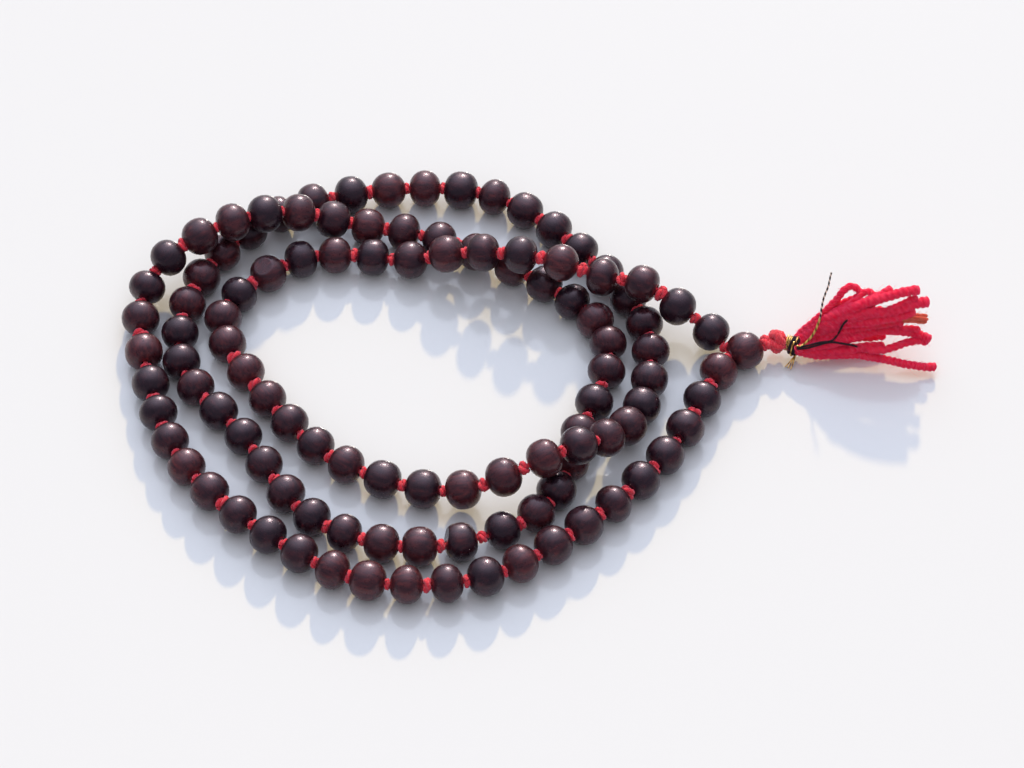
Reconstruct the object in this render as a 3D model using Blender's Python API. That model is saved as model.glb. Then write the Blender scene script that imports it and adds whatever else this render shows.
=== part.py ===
"""Mala prayer beads: 108 drilled wooden beads and a guru bead on one knotted cord, lying in three coils.

The cord runs from the guru bead through beads 1 to 108 and back to the guru bead, with a knot between
each two beads. Beads 1 to 21 and 88 to 108, next to the guru bead on either side, are separate drilled
beads that turn on the cord. Beads 22 to 87 are joined with their cord and knots into six runs of eleven.
The tassel hangs on the guru bead: a knot, a gold and a black binding, the yarns and their loose ends.

Metres, +Z up. The origin is under the middle of the object, on the surface that it lies on.
"""
import math

import bmesh
import bpy
from mathutils import Matrix, Vector

# Beads
BEAD_COUNT = 108
BEAD_RADIUS = 0.0040
BEAD_HALF_LENGTH = 0.0032
BEAD_SIDES = 10
BORE_RADIUS = 0.00075
FACET_HALF_LENGTH = 0.0009
# Outline of a bead: half its length to each ring and the ring's radius, from the flat end to the middle
BEAD_OUTLINE = [(BEAD_HALF_LENGTH, 0.00150), (0.0023, 0.0031), (FACET_HALF_LENGTH, BEAD_RADIUS)]
# The guru bead has wider ends, for a bore that takes both legs of the cord
GURU_OUTLINE = [(BEAD_HALF_LENGTH, 0.00215), (0.0023, 0.0034), (FACET_HALF_LENGTH, BEAD_RADIUS)]
GURU_BORE_RADIUS = 0.00145

# A bead lies on a facet, so its axis is the facet's distance above the surface
FACET_HEIGHT = BEAD_RADIUS * math.cos(math.pi / BEAD_SIDES)

# Joined beads have fewer sides, and a radius that keeps their facets at the same height
RUN_SIDES = 8
RUN_SCALE = math.cos(math.pi / BEAD_SIDES) / math.cos(math.pi / RUN_SIDES)
RUN_KNOT_RADIUS = 0.00125
FIRST_JOINED = 22
LAST_JOINED = 87
BEADS_PER_RUN = 11

# Cord
CORD_RADIUS = 0.00042
CORD_SIDES = 6
KNOT_RADIUS = 0.0011
KNOT_CLEARANCE = 0.00025
LEG_SPACING = 0.0006
GAP = 0.0003

# How the coils lie on each other: half the height and length of the round body that a bead keeps clear,
# and how far one bead can stand above the next one on the taut cord
STACK_RADIUS = 0.0040
STACK_HALF_LENGTH = 0.00365
STACK_GAP = 0.0003
STACK_STEP = 0.00005
MOST_RISE = 0.0032
SETTLING_ROUNDS = 8
FIRST_COIL_LAID = 31

# The cord's route in plan, at beads 1, 4, 7 and so on to 106, and at the guru bead
ROUTE = [
    (0.0385, 0.0015), (0.0270, -0.0210), (0.0105, -0.0390), (-0.0090, -0.0520),
    (-0.0320, -0.0530), (-0.0520, -0.0415), (-0.0690, -0.0240), (-0.0775, -0.0020),
    (-0.0795, 0.0235), (-0.0620, 0.0360), (-0.0415, 0.0420), (-0.0190, 0.0380),
    (0.0030, 0.0255), (0.0160, 0.0090), (0.0100, -0.0150), (0.0010, -0.0360),
    (-0.0220, -0.0445), (-0.0435, -0.0370), (-0.0580, -0.0160), (-0.0715, 0.0040),
    (-0.0685, 0.0275), (-0.0530, 0.0455), (-0.0300, 0.0525), (-0.0075, 0.0505),
    (0.0105, 0.0350), (0.0235, 0.0145), (0.0225, -0.0080), (0.0095, -0.0250),
    (-0.0135, -0.0310), (-0.0370, -0.0235), (-0.0535, -0.0060), (-0.0635, 0.0160),
    (-0.0480, 0.0325), (-0.0250, 0.0320), (-0.0020, 0.0270), (0.0230, 0.0190),
    (0.0440, 0.0070),
]
BEADS_PER_POINT = 3

# Direction of the guru bead's bore in plan, from the coils to the tassel
GURU_HEADING = math.radians(26.0)

# Tassel head: the point of the upright swing axis, just outside the guru bead, and the line that the
# head follows from there
SWING_POINT = (0.0471, 0.0085, 0.0038)
HEAD_LINE = [
    (0.04730, 0.00860, 0.0038), (0.04850, 0.00915, 0.0038), (0.05070, 0.00970, 0.0037),
    (0.05260, 0.00960, 0.0035), (0.05390, 0.00925, 0.0033), (0.05540, 0.00865, 0.0032),
]
# Knot outline along the head line: fraction of its length and radius, then the core in the bindings
KNOT_OUTLINE = [
    (0.02, 0.0007), (0.06, 0.0014), (0.14, 0.0017), (0.22, 0.0013), (0.28, 0.0022),
    (0.40, 0.0026), (0.52, 0.0022), (0.58, 0.0011), (0.98, 0.0010),
]
CORE_CLEARANCE_RADIUS = 0.0014
HEAD_SIDES = 12
GOLD_SPAN = (0.625, 0.755)
GOLD_RADIUS = 0.0019
GOLD_WRAPS = 3
BLACK_SPAN = (0.80, 0.99)
BLACK_RADIUS = 0.0023
BLACK_WRAPS = 3
WRAP_DEPTH = 0.00025

# Yarns: the lift axis, and the sections of the skirt that they make, which leans back as it rises.
# Each section is its place along X, its lowest and its highest edge as Y and Z, and half its depth
LIFT_POINT = (0.0571, 0.0084, 0.0032)
FAN_SECTIONS = [
    (0.0559, (0.0084, 0.0027), (0.0084, 0.0037), 0.0005), (0.0563, (0.0083, 0.0023), (0.0085, 0.0041), 0.0009),
    (0.0571, (0.0080, 0.0020), (0.0088, 0.0046), 0.0012), (0.0580, (0.0077, 0.0018), (0.0093, 0.0058), 0.0013),
    (0.0590, (0.0073, 0.0018), (0.0099, 0.0073), 0.0014), (0.0600, (0.0070, 0.0018), (0.0106, 0.0090), 0.0015),
    (0.0615, (0.0067, 0.0018), (0.0115, 0.0113), 0.0016), (0.0640, (0.0064, 0.0018), (0.0123, 0.0140), 0.0018),
    (0.0670, (0.0062, 0.0018), (0.0126, 0.0153), 0.0019), (0.0710, (0.0057, 0.0017), (0.0122, 0.0160), 0.0018),
    (0.0760, (0.0050, 0.0014), (0.0123, 0.0168), 0.0016), (0.0795, (0.0046, 0.0010), (0.0124, 0.0170), 0.0014),
    (0.0815, (0.0044, 0.0009), (0.0110, 0.0140), 0.0011), (0.0830, (0.0043, 0.0009), (0.0070, 0.0070), 0.0008),
    (0.0842, (0.0044, 0.0012), (0.0050, 0.0026), 0.0005),
]
FAN_SIDES = 14
FAN_SQUARENESS = 2.6

# Loose ends of the bindings: radius and line
METALLIC_TAIL_RADIUS = 0.0003
METALLIC_TAIL = [
    (0.0584, 0.0089, 0.0080), (0.0589, 0.0098, 0.0091), (0.0592, 0.0105, 0.0101),
    (0.0595, 0.0115, 0.0114), (0.0598, 0.0126, 0.0129), (0.0603, 0.0135, 0.0143),
    (0.0608, 0.0142, 0.0155), (0.0611, 0.0151, 0.0168), (0.0614, 0.0159, 0.0179),
]
METALLIC_STUB_RADIUS = 0.00035
METALLIC_STUB = [(0.0532, 0.0061, 0.0018), (0.0526, 0.0054, 0.0013), (0.0520, 0.0047, 0.0009)]
BLACK_TAIL_RADIUS = 0.0003
BLACK_TAIL_LONG = [
    (0.0600, 0.0067, 0.0061), (0.0616, 0.0066, 0.0066), (0.0637, 0.0060, 0.0066),
    (0.0655, 0.0056, 0.0064), (0.0670, 0.0053, 0.0061),
]
BLACK_TAIL_SHORT = [
    (0.0628, 0.0068, 0.0079), (0.0634, 0.0073, 0.0092), (0.0640, 0.0078, 0.0105), (0.0647, 0.0082, 0.0117),
]

UP = Vector((0.0, 0.0, 1.0))


# ---------------------------------------------------------------- Materials

def make_material(name, colour, roughness, metallic=0.0):
    material = bpy.data.materials.new(name)
    material.use_nodes = True
    shader = material.node_tree.nodes["Principled BSDF"]
    shader.inputs["Base Color"].default_value = (*colour, 1.0)
    shader.inputs["Roughness"].default_value = roughness
    shader.inputs["Metallic"].default_value = metallic
    return material


# ---------------------------------------------------------------- Meshes from rings

def heading_frame(direction):
    """The level side direction and the up direction that belong to a direction of travel."""
    side = UP.cross(direction).normalized()
    return side, direction.cross(side).normalized()


def ring(centre, direction, radius, sides):
    """A ring of points square to a direction, turned so that a facet faces down."""
    side, up = heading_frame(direction)
    points = []
    for number in range(sides):
        angle = 2.0 * math.pi * (number + 0.5) / sides - math.pi / 2.0
        points.append(centre + radius * (math.cos(angle) * side + math.sin(angle) * up))
    return points


def skin(name, rings, closed=False):
    """A mesh through rings of equal point counts: capped at both ends, or closed on itself."""
    bm = bmesh.new()
    loops = [[bm.verts.new(point) for point in points] for points in rings]
    sides = len(loops[0])
    pairs = list(zip(loops, loops[1:]))
    if closed:
        pairs.append((loops[-1], loops[0]))
    for first, second in pairs:
        for number in range(sides):
            after = (number + 1) % sides
            bm.faces.new((first[number], first[after], second[after], second[number]))
    if not closed:
        bm.faces.new(loops[0])
        bm.faces.new(loops[-1])
    bmesh.ops.recalc_face_normals(bm, faces=bm.faces)
    mesh = bpy.data.meshes.new(name)
    bm.to_mesh(mesh)
    bm.free()
    mesh.shade_smooth()
    mesh.set_sharp_from_angle(angle=math.radians(40.0))
    return mesh


def place(name, mesh, material, matrix=None):
    """A node with a mesh, which a repeated piece shares with its copies."""
    if not mesh.materials:
        mesh.materials.append(material)
    node = bpy.data.objects.new(name, mesh)
    bpy.context.scene.collection.objects.link(node)
    if matrix is not None:
        node.matrix_world = matrix
    return node


def pivot(name, point, parent=None):
    """An empty on a joint's axis, which the pieces that move with the joint hang on."""
    empty = bpy.data.objects.new(name, None)
    bpy.context.scene.collection.objects.link(empty)
    empty.parent = parent
    empty.location = Vector(point) - (parent.location if parent else Vector())
    return empty


def hang(name, mesh, material, empty, point):
    """Place a mesh that is drawn where it lies, under the empty that stands at a point."""
    mesh.transform(Matrix.Translation(-Vector(point)))
    place(name, mesh, material).parent = empty


def tube(name, points, radius, sides):
    """A short tube along a line of points, square at both ends."""
    rings = []
    for number, point in enumerate(points):
        before = points[max(number - 1, 0)]
        after = points[min(number + 1, len(points) - 1)]
        rings.append(ring(point, (after - before).normalized(), radius, sides))
    return skin(name, rings)


# ---------------------------------------------------------------- Where the beads lie

def smooth_point(points, place_on_line):
    """A point on the Catmull-Rom curve through a list of points, counted in points."""
    first = min(int(place_on_line), len(points) - 2)
    f = place_on_line - first
    b = points[first]
    c = points[first + 1]
    a = points[first - 1] if first > 0 else 2.0 * b - c
    d = points[first + 2] if first + 2 < len(points) else 2.0 * c - b
    return 0.5 * (2.0 * b + (c - a) * f + (2.0 * a - 5.0 * b + 4.0 * c - d) * f * f
                  + (3.0 * b - a - 3.0 * c + d) * f ** 3)


def reach(axis, direction):
    """How far a bead's round body reaches from its middle in a direction."""
    along = axis.dot(direction)
    across = 1.0 - along * along
    return 1.0 / math.sqrt(along * along / STACK_HALF_LENGTH ** 2 + across / STACK_RADIUS ** 2)


def clear_height(number, start, plan, axes, heights, laid):
    """The lowest height from start on at which a bead clears all the beads that lie under it."""
    height = start
    near = [other for other in laid
            if abs(other - number) > 1 and abs(other - number) < BEAD_COUNT
            and (plan[other] - plan[number]).length < 2.2 * STACK_RADIUS]
    blocked = True
    while blocked:
        blocked = False
        for other in near:
            apart = plan[number] + UP * height - plan[other] - UP * heights[other]
            way = apart.normalized()
            needed = reach(axes[number], way) + reach(axes[other], way) + STACK_GAP
            if apart.length < needed:
                height += STACK_STEP
                blocked = True
    return height


def lay_beads():
    """The middles of beads 1 to 108 and of the guru bead, the last, as the coils were laid down."""
    route = [Vector((x, y, 0.0)) for x, y in ROUTE]
    total = BEAD_COUNT + 1
    plan = [smooth_point(route, number / BEADS_PER_POINT) for number in range(total)]
    axes = []
    for number in range(total):
        ahead = plan[min(number + 1, total - 1)]
        behind = plan[max(number - 1, 0)]
        axes.append((ahead - behind).normalized())
    order = list(range(FIRST_COIL_LAID - 1, BEAD_COUNT)) + list(range(FIRST_COIL_LAID - 2, -1, -1))
    lowest = [FACET_HEIGHT] * total
    heights = list(lowest)
    for _ in range(SETTLING_ROUNDS):
        laid = [BEAD_COUNT]
        for number in order:
            heights[number] = clear_height(number, lowest[number], plan, axes, heights, laid)
            laid.append(number)
        for number in range(1, BEAD_COUNT):
            lowest[number] = max(lowest[number], heights[number - 1] - MOST_RISE)
        for number in range(BEAD_COUNT - 2, -1, -1):
            lowest[number] = max(lowest[number], heights[number + 1] - MOST_RISE)
    places = [point + UP * height for point, height in zip(plan, heights)]
    for spot, axis in zip(places, bead_axes(places)):
        spot.z = max(spot.z, FACET_HEIGHT + FACET_HALF_LENGTH * abs(axis.z))
    return places


def bead_axes(places):
    """Each bead points from the bead before it to the bead after it, and the guru bead to the tassel."""
    guru_axis = Vector((math.cos(GURU_HEADING), math.sin(GURU_HEADING), 0.0))
    mouth = places[-1] - guru_axis * BEAD_HALF_LENGTH
    axes = []
    for number in range(BEAD_COUNT):
        behind = places[number - 1] if number > 0 else mouth
        ahead = places[number + 1] if number < BEAD_COUNT - 1 else mouth
        axes.append((ahead - behind).normalized())
    axes.append(guru_axis)
    return axes


# ---------------------------------------------------------------- Beads

def drilled_bead_mesh(name, outline, bore_radius):
    """A bead around the X axis with a straight bore: the outside from end to end, then the bore."""
    along = Vector((1.0, 0.0, 0.0))
    rings = [ring(along * -distance, along, radius, BEAD_SIDES) for distance, radius in outline]
    rings += [ring(along * distance, along, radius, BEAD_SIDES) for distance, radius in reversed(outline)]
    rings.append(ring(along * BEAD_HALF_LENGTH, along, bore_radius, BEAD_SIDES))
    rings.append(ring(along * -BEAD_HALF_LENGTH, along, bore_radius, BEAD_SIDES))
    return skin(name, rings, closed=True)


def bead_matrix(middle, axis):
    """The placing that turns local X to the bead's axis, with a facet facing down."""
    side, up = heading_frame(axis)
    return Matrix.Translation(middle) @ Matrix((axis, side, up)).transposed().to_4x4()


def make_drilled_beads(places, axes, wood):
    mesh = drilled_bead_mesh("drilled_bead", BEAD_OUTLINE, BORE_RADIUS)
    for number in range(1, BEAD_COUNT + 1):
        if FIRST_JOINED <= number <= LAST_JOINED:
            continue
        place("bead_%03d" % number, mesh, wood, bead_matrix(places[number - 1], axes[number - 1]))


def make_guru_bead(places, axes, wood):
    mesh = drilled_bead_mesh("guru_bead", GURU_OUTLINE, GURU_BORE_RADIUS)
    place("guru_bead", mesh, wood, bead_matrix(places[-1], axes[-1]))


def knot_point(places, axes, number):
    """Midway between the facing ends of a bead and of the next one."""
    end = places[number - 1] + axes[number - 1] * BEAD_HALF_LENGTH
    start = places[number] - axes[number] * BEAD_HALF_LENGTH
    return (end + start) * 0.5, (places[number] - places[number - 1]).normalized()


def make_run(name, first, last, places, axes, wood):
    """Beads joined by the cord and its knots, as one solid."""
    rings = []
    for number in range(first, last + 1):
        middle = places[number - 1]
        axis = axes[number - 1]
        outline = [(-distance, radius) for distance, radius in BEAD_OUTLINE]
        outline += list(reversed(BEAD_OUTLINE))
        for distance, radius in outline:
            rings.append(ring(middle + axis * distance, axis, radius * RUN_SCALE, RUN_SIDES))
        if number < last:
            point, direction = knot_point(places, axes, number)
            rings.append(ring(point, direction, RUN_KNOT_RADIUS, RUN_SIDES))
    place(name, skin(name, rings), wood)


def make_runs(places, axes, wood):
    for first in range(FIRST_JOINED, LAST_JOINED, BEADS_PER_RUN):
        last = first + BEADS_PER_RUN - 1
        make_run("bead_run_%03d_%03d" % (first, last), first, last, places, axes, wood)


# ---------------------------------------------------------------- Cord

def knot_rings(places, axes, number):
    """The three rings of the knot between a bead and the next one: thin, thick and thin."""
    point, _ = knot_point(places, axes, number)
    start = places[number - 1] + axes[number - 1] * (BEAD_HALF_LENGTH + KNOT_CLEARANCE)
    end = places[number] - axes[number] * (BEAD_HALF_LENGTH + KNOT_CLEARANCE)
    direction = (places[number] - places[number - 1]).normalized()
    return [ring(start, axes[number - 1], CORD_RADIUS, CORD_SIDES),
            ring(point, direction, KNOT_RADIUS, CORD_SIDES),
            ring(end, axes[number], CORD_RADIUS, CORD_SIDES)]


def rings_in_guru(places, axes, offset, heading):
    """The two rings of a leg in the guru bead, near its tassel end and just outside its other end.

    The offset is to the left of the guru bead's direction, and the heading, 1 or -1, is the way that
    the leg runs through it.
    """
    axis = axes[-1]
    side, _ = heading_frame(axis)
    line = places[-1] + side * offset
    inner = line + axis * (BEAD_HALF_LENGTH - GAP)
    mouth = line - axis * (BEAD_HALF_LENGTH + GAP)
    return [ring(inner, axis * heading, CORD_RADIUS, CORD_SIDES),
            ring(mouth, axis * heading, CORD_RADIUS, CORD_SIDES)]


def make_first_leg(places, axes, cotton):
    """From the guru bead through beads 1 to 21, up to the first joined bead."""
    rings = rings_in_guru(places, axes, -LEG_SPACING, -1.0)
    rings.append(ring(places[0] - axes[0] * BEAD_HALF_LENGTH, axes[0], CORD_RADIUS, CORD_SIDES))
    for number in range(1, FIRST_JOINED - 1):
        rings += knot_rings(places, axes, number)
    rings += knot_rings(places, axes, FIRST_JOINED - 1)[:2]
    place("cord_leg_first", skin("cord_leg_first", rings), cotton)


def make_last_leg(places, axes, cotton):
    """From the last joined bead through beads 88 to 108, and back into the guru bead."""
    rings = knot_rings(places, axes, LAST_JOINED)[1:]
    for number in range(LAST_JOINED + 1, BEAD_COUNT):
        rings += knot_rings(places, axes, number)
    axis = axes[BEAD_COUNT - 1]
    end = places[BEAD_COUNT - 1] + axis * BEAD_HALF_LENGTH
    rings.append(ring(end, axis, CORD_RADIUS, CORD_SIDES))
    rings += reversed(rings_in_guru(places, axes, LEG_SPACING, 1.0))
    place("cord_leg_last", skin("cord_leg_last", rings), cotton)


# ---------------------------------------------------------------- Tassel

def head_point(fraction):
    """A point on the tassel head's line and its direction there, at a fraction of its length."""
    points = [Vector(point) for point in HEAD_LINE]
    place_on_line = fraction * (len(points) - 1)
    step = 0.05
    ahead = smooth_point(points, min(place_on_line + step, len(points) - 1))
    behind = smooth_point(points, max(place_on_line - step, 0.0))
    return smooth_point(points, place_on_line), (ahead - behind).normalized()


def make_guru_knot(cotton, swing):
    """The small knot against the guru bead, the large knot, and the core that the bindings hold."""
    rings = []
    for fraction, radius in KNOT_OUTLINE:
        point, direction = head_point(fraction)
        rings.append(ring(point, direction, radius, HEAD_SIDES))
    hang("guru_knot", skin("guru_knot", rings), cotton, swing, SWING_POINT)


def make_binding(name, span, radius, wraps, material, swing):
    """A thread wound round the core: a collar with one round ridge for each turn."""
    start, end = span
    stops = 2 * wraps
    outline = []
    for stop in range(stops + 1):
        depth = WRAP_DEPTH if stop % 2 == 0 else 0.0
        outline.append((start + (end - start) * stop / stops, radius - depth))
    outline.append((end, CORE_CLEARANCE_RADIUS))
    outline.append((start, CORE_CLEARANCE_RADIUS))
    rings = []
    for fraction, ring_radius in outline:
        point, direction = head_point(fraction)
        rings.append(ring(point, direction, ring_radius, HEAD_SIDES))
    hang(name, skin(name, rings, closed=True), material, swing, SWING_POINT)


def make_yarns(material, lift):
    """The spread yarns as one soft skirt: rounded flat sections from the bound end to the cut ends."""
    rings = []
    for x, (low_y, low_z), (high_y, high_z), half_depth in FAN_SECTIONS:
        low = Vector((x, low_y, low_z))
        high = Vector((x, high_y, high_z))
        rise = (high - low) / 2.0
        depth = Vector((0.0, rise.z, -rise.y)).normalized() * half_depth
        points = []
        for number in range(FAN_SIDES):
            angle = 2.0 * math.pi * number / FAN_SIDES
            across = math.copysign(abs(math.cos(angle)) ** (2.0 / FAN_SQUARENESS), math.cos(angle))
            upward = math.copysign(abs(math.sin(angle)) ** (2.0 / FAN_SQUARENESS), math.sin(angle))
            points.append((low + high) / 2.0 + depth * across + rise * upward)
        rings.append(points)
    hang("tassel_yarns", skin("tassel_yarns", rings), material, lift, LIFT_POINT)


def make_tail(name, line, radius, material, empty, point):
    points = [Vector(spot) for spot in line]
    hang(name, tube(name, points, radius, CORD_SIDES), material, empty, point)


def make_tassel(cotton, gold, black, yarn):
    swing = pivot("knot_swing_axis", SWING_POINT)
    lift = pivot("skirt_lift_axis", LIFT_POINT, swing)
    make_guru_knot(cotton, swing)
    make_binding("gold_binding", GOLD_SPAN, GOLD_RADIUS, GOLD_WRAPS, gold, swing)
    make_binding("black_binding", BLACK_SPAN, BLACK_RADIUS, BLACK_WRAPS, black, swing)
    make_tail("metallic_stub", METALLIC_STUB, METALLIC_STUB_RADIUS, gold, swing, SWING_POINT)
    make_yarns(yarn, lift)
    make_tail("metallic_tail", METALLIC_TAIL, METALLIC_TAIL_RADIUS, gold, lift, LIFT_POINT)
    make_tail("black_tail_long", BLACK_TAIL_LONG, BLACK_TAIL_RADIUS, black, lift, LIFT_POINT)
    make_tail("black_tail_short", BLACK_TAIL_SHORT, BLACK_TAIL_RADIUS, black, lift, LIFT_POINT)


def main():
    for node in list(bpy.data.objects):
        bpy.data.objects.remove(node)
    wood = make_material("dark_wood", (0.030, 0.016, 0.013), 0.28)
    cotton = make_material("red_cotton", (0.62, 0.03, 0.03), 0.85)
    yarn = make_material("red_yarn", (0.60, 0.05, 0.06), 0.85)
    gold = make_material("gold_thread", (0.62, 0.40, 0.14), 0.45, 0.8)
    black = make_material("black_thread", (0.02, 0.018, 0.018), 0.7)
    places = lay_beads()
    axes = bead_axes(places)
    make_drilled_beads(places, axes, wood)
    make_guru_bead(places, axes, wood)
    make_runs(places, axes, wood)
    make_first_leg(places, axes, cotton)
    make_last_leg(places, axes, cotton)
    make_tassel(cotton, gold, black, yarn)


main()
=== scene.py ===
import math
import random

import bmesh
import bpy
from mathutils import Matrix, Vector, noise


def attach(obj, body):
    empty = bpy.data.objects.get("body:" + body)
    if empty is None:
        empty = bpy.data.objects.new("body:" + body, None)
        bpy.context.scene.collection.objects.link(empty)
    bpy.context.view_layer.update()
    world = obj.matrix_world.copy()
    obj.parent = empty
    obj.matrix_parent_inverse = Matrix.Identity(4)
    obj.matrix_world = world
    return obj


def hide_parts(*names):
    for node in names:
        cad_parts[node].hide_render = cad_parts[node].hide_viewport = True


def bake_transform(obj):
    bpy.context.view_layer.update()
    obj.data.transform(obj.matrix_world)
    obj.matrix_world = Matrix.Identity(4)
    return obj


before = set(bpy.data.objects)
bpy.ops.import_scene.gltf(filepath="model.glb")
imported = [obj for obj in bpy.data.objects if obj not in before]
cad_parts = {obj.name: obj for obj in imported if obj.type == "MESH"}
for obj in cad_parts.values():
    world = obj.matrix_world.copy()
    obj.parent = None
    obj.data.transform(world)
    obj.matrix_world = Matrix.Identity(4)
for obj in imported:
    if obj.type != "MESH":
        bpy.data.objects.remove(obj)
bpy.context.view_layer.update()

# ---------------------------------------------------------------- Dimensions, in metres

MM = 0.001
UP = Vector((0.0, 0.0, 1.0))

# Beads and how they lie: the same rule as the CAD part's
BEAD_COUNT = 108
BEAD_RADIUS = 0.0040
BEAD_HALF_LENGTH = 0.0032
FACET_HALF_LENGTH = 0.0009
FACET_HEIGHT = BEAD_RADIUS * math.cos(math.pi / 10)
STACK_RADIUS = 0.0040
STACK_HALF_LENGTH = 0.00365
STACK_GAP = 0.0003
STACK_STEP = 0.00005
MOST_RISE = 0.0032
SETTLING_ROUNDS = 8
FIRST_COIL_LAID = 31
BEADS_PER_POINT = 3
GURU_HEADING = math.radians(26.0)
FIRST_JOINED = 22
LAST_JOINED = 87
BEADS_PER_RUN = 11

# The cord's route in plan, at beads 1, 4, 7 and so on to 106, and at the guru bead
ROUTE = [
    (0.0385, 0.0015), (0.0270, -0.0210), (0.0105, -0.0390), (-0.0090, -0.0520),
    (-0.0320, -0.0530), (-0.0520, -0.0415), (-0.0690, -0.0240), (-0.0775, -0.0020),
    (-0.0795, 0.0235), (-0.0620, 0.0360), (-0.0415, 0.0420), (-0.0190, 0.0380),
    (0.0030, 0.0255), (0.0160, 0.0090), (0.0100, -0.0150), (0.0010, -0.0360),
    (-0.0220, -0.0445), (-0.0435, -0.0370), (-0.0580, -0.0160), (-0.0715, 0.0040),
    (-0.0685, 0.0275), (-0.0530, 0.0455), (-0.0300, 0.0525), (-0.0075, 0.0505),
    (0.0105, 0.0350), (0.0235, 0.0145), (0.0225, -0.0080), (0.0095, -0.0250),
    (-0.0135, -0.0310), (-0.0370, -0.0235), (-0.0535, -0.0060), (-0.0635, 0.0160),
    (-0.0480, 0.0325), (-0.0250, 0.0320), (-0.0020, 0.0270), (0.0230, 0.0190),
    (0.0440, 0.0070),
]

# The round beads stand this far below the facets that the CAD beads lie on
FLOOR_HEIGHT = FACET_HEIGHT - BEAD_RADIUS

# Camera
VIEW_CENTRE = Vector((-0.0038, 0.00145, FLOOR_HEIGHT))
VIEW_DISTANCE = 0.85
VIEW_ELEVATION = math.radians(49.0)
LENS = 145.68

# Light: a low key light from behind, and a wide soft window above it
KEY_ELEVATION = math.radians(28.6)
KEY_AZIMUTH = math.radians(6.0)
KEY_ANGLE = math.radians(2.4)
KEY_STRENGTH = 2.28
KEY_COLOUR = (1.0, 0.76, 0.34)
GLEAM_STRENGTH = 3.0
GLEAM_COLOUR = (1.0, 0.92, 0.84)
FILL_STRENGTH = 0.66
FILL_COLOUR = (1.0, 0.96, 1.0)
FILL_ANGLE = math.radians(70.0)
WINDOW_ELEVATION = math.radians(56.0)
WINDOW_FOCUS = 4.0
WINDOW_STRENGTH = 2.52
ROOM_STRENGTH = 0.34
SKY_COLOUR = (0.74, 0.80, 0.94)


# ---------------------------------------------------------------- Where the beads lie

def smooth_point(points, place_on_line):
    """A point on the Catmull-Rom curve through a list of points, counted in points."""
    first = min(int(place_on_line), len(points) - 2)
    f = place_on_line - first
    b = points[first]
    c = points[first + 1]
    a = points[first - 1] if first > 0 else 2.0 * b - c
    d = points[first + 2] if first + 2 < len(points) else 2.0 * c - b
    return 0.5 * (2.0 * b + (c - a) * f + (2.0 * a - 5.0 * b + 4.0 * c - d) * f * f
                  + (3.0 * b - a - 3.0 * c + d) * f ** 3)


def reach(axis, direction):
    """How far a bead's round body reaches from its middle in a direction."""
    along = axis.dot(direction)
    across = 1.0 - along * along
    return 1.0 / math.sqrt(along * along / STACK_HALF_LENGTH ** 2 + across / STACK_RADIUS ** 2)


def clear_height(number, start, plan, axes, heights, laid):
    """The lowest height from start on at which a bead clears all the beads that lie under it."""
    height = start
    near = [other for other in laid
            if abs(other - number) > 1 and abs(other - number) < BEAD_COUNT
            and (plan[other] - plan[number]).length < 2.2 * STACK_RADIUS]
    blocked = True
    while blocked:
        blocked = False
        for other in near:
            apart = plan[number] + UP * height - plan[other] - UP * heights[other]
            way = apart.normalized()
            needed = reach(axes[number], way) + reach(axes[other], way) + STACK_GAP
            if apart.length < needed:
                height += STACK_STEP
                blocked = True
    return height


def bead_axes(places):
    """Each bead points from the bead before it to the bead after it, and the guru bead to the tassel."""
    guru_axis = Vector((math.cos(GURU_HEADING), math.sin(GURU_HEADING), 0.0))
    mouth = places[-1] - guru_axis * BEAD_HALF_LENGTH
    axes = []
    for number in range(BEAD_COUNT):
        behind = places[number - 1] if number > 0 else mouth
        ahead = places[number + 1] if number < BEAD_COUNT - 1 else mouth
        axes.append((ahead - behind).normalized())
    axes.append(guru_axis)
    return axes


def lay_beads():
    """The middles of beads 1 to 108 and of the guru bead, the last, as the coils were laid down."""
    route = [Vector((x, y, 0.0)) for x, y in ROUTE]
    total = BEAD_COUNT + 1
    plan = [smooth_point(route, number / BEADS_PER_POINT) for number in range(total)]
    axes = []
    for number in range(total):
        ahead = plan[min(number + 1, total - 1)]
        behind = plan[max(number - 1, 0)]
        axes.append((ahead - behind).normalized())
    order = list(range(FIRST_COIL_LAID - 1, BEAD_COUNT)) + list(range(FIRST_COIL_LAID - 2, -1, -1))
    lowest = [FACET_HEIGHT] * total
    heights = list(lowest)
    for _ in range(SETTLING_ROUNDS):
        laid = [BEAD_COUNT]
        for number in order:
            heights[number] = clear_height(number, lowest[number], plan, axes, heights, laid)
            laid.append(number)
        for number in range(1, BEAD_COUNT):
            lowest[number] = max(lowest[number], heights[number - 1] - MOST_RISE)
        for number in range(BEAD_COUNT - 2, -1, -1):
            lowest[number] = max(lowest[number], heights[number + 1] - MOST_RISE)
    places = [point + UP * height for point, height in zip(plan, heights)]
    for spot, axis in zip(places, bead_axes(places)):
        spot.z = max(spot.z, FACET_HEIGHT + FACET_HALF_LENGTH * abs(axis.z))
    return places


PLACES = lay_beads()
AXES = bead_axes(PLACES)
GURU = BEAD_COUNT


# ---------------------------------------------------------------- Camera, floor and light

def make_camera():
    camera = bpy.data.objects.new("camera", bpy.data.cameras.new("camera"))
    bpy.context.scene.collection.objects.link(camera)
    back = Vector((0.0, -math.cos(VIEW_ELEVATION), math.sin(VIEW_ELEVATION)))
    camera.location = VIEW_CENTRE + back * VIEW_DISTANCE
    camera.rotation_euler = (math.pi / 2.0 - VIEW_ELEVATION, 0.0, 0.0)
    camera.data.lens = LENS
    camera.data.sensor_width = 36.0
    camera.data.clip_start = 0.01
    camera.data.clip_end = 20.0
    bpy.context.scene.camera = camera


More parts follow.
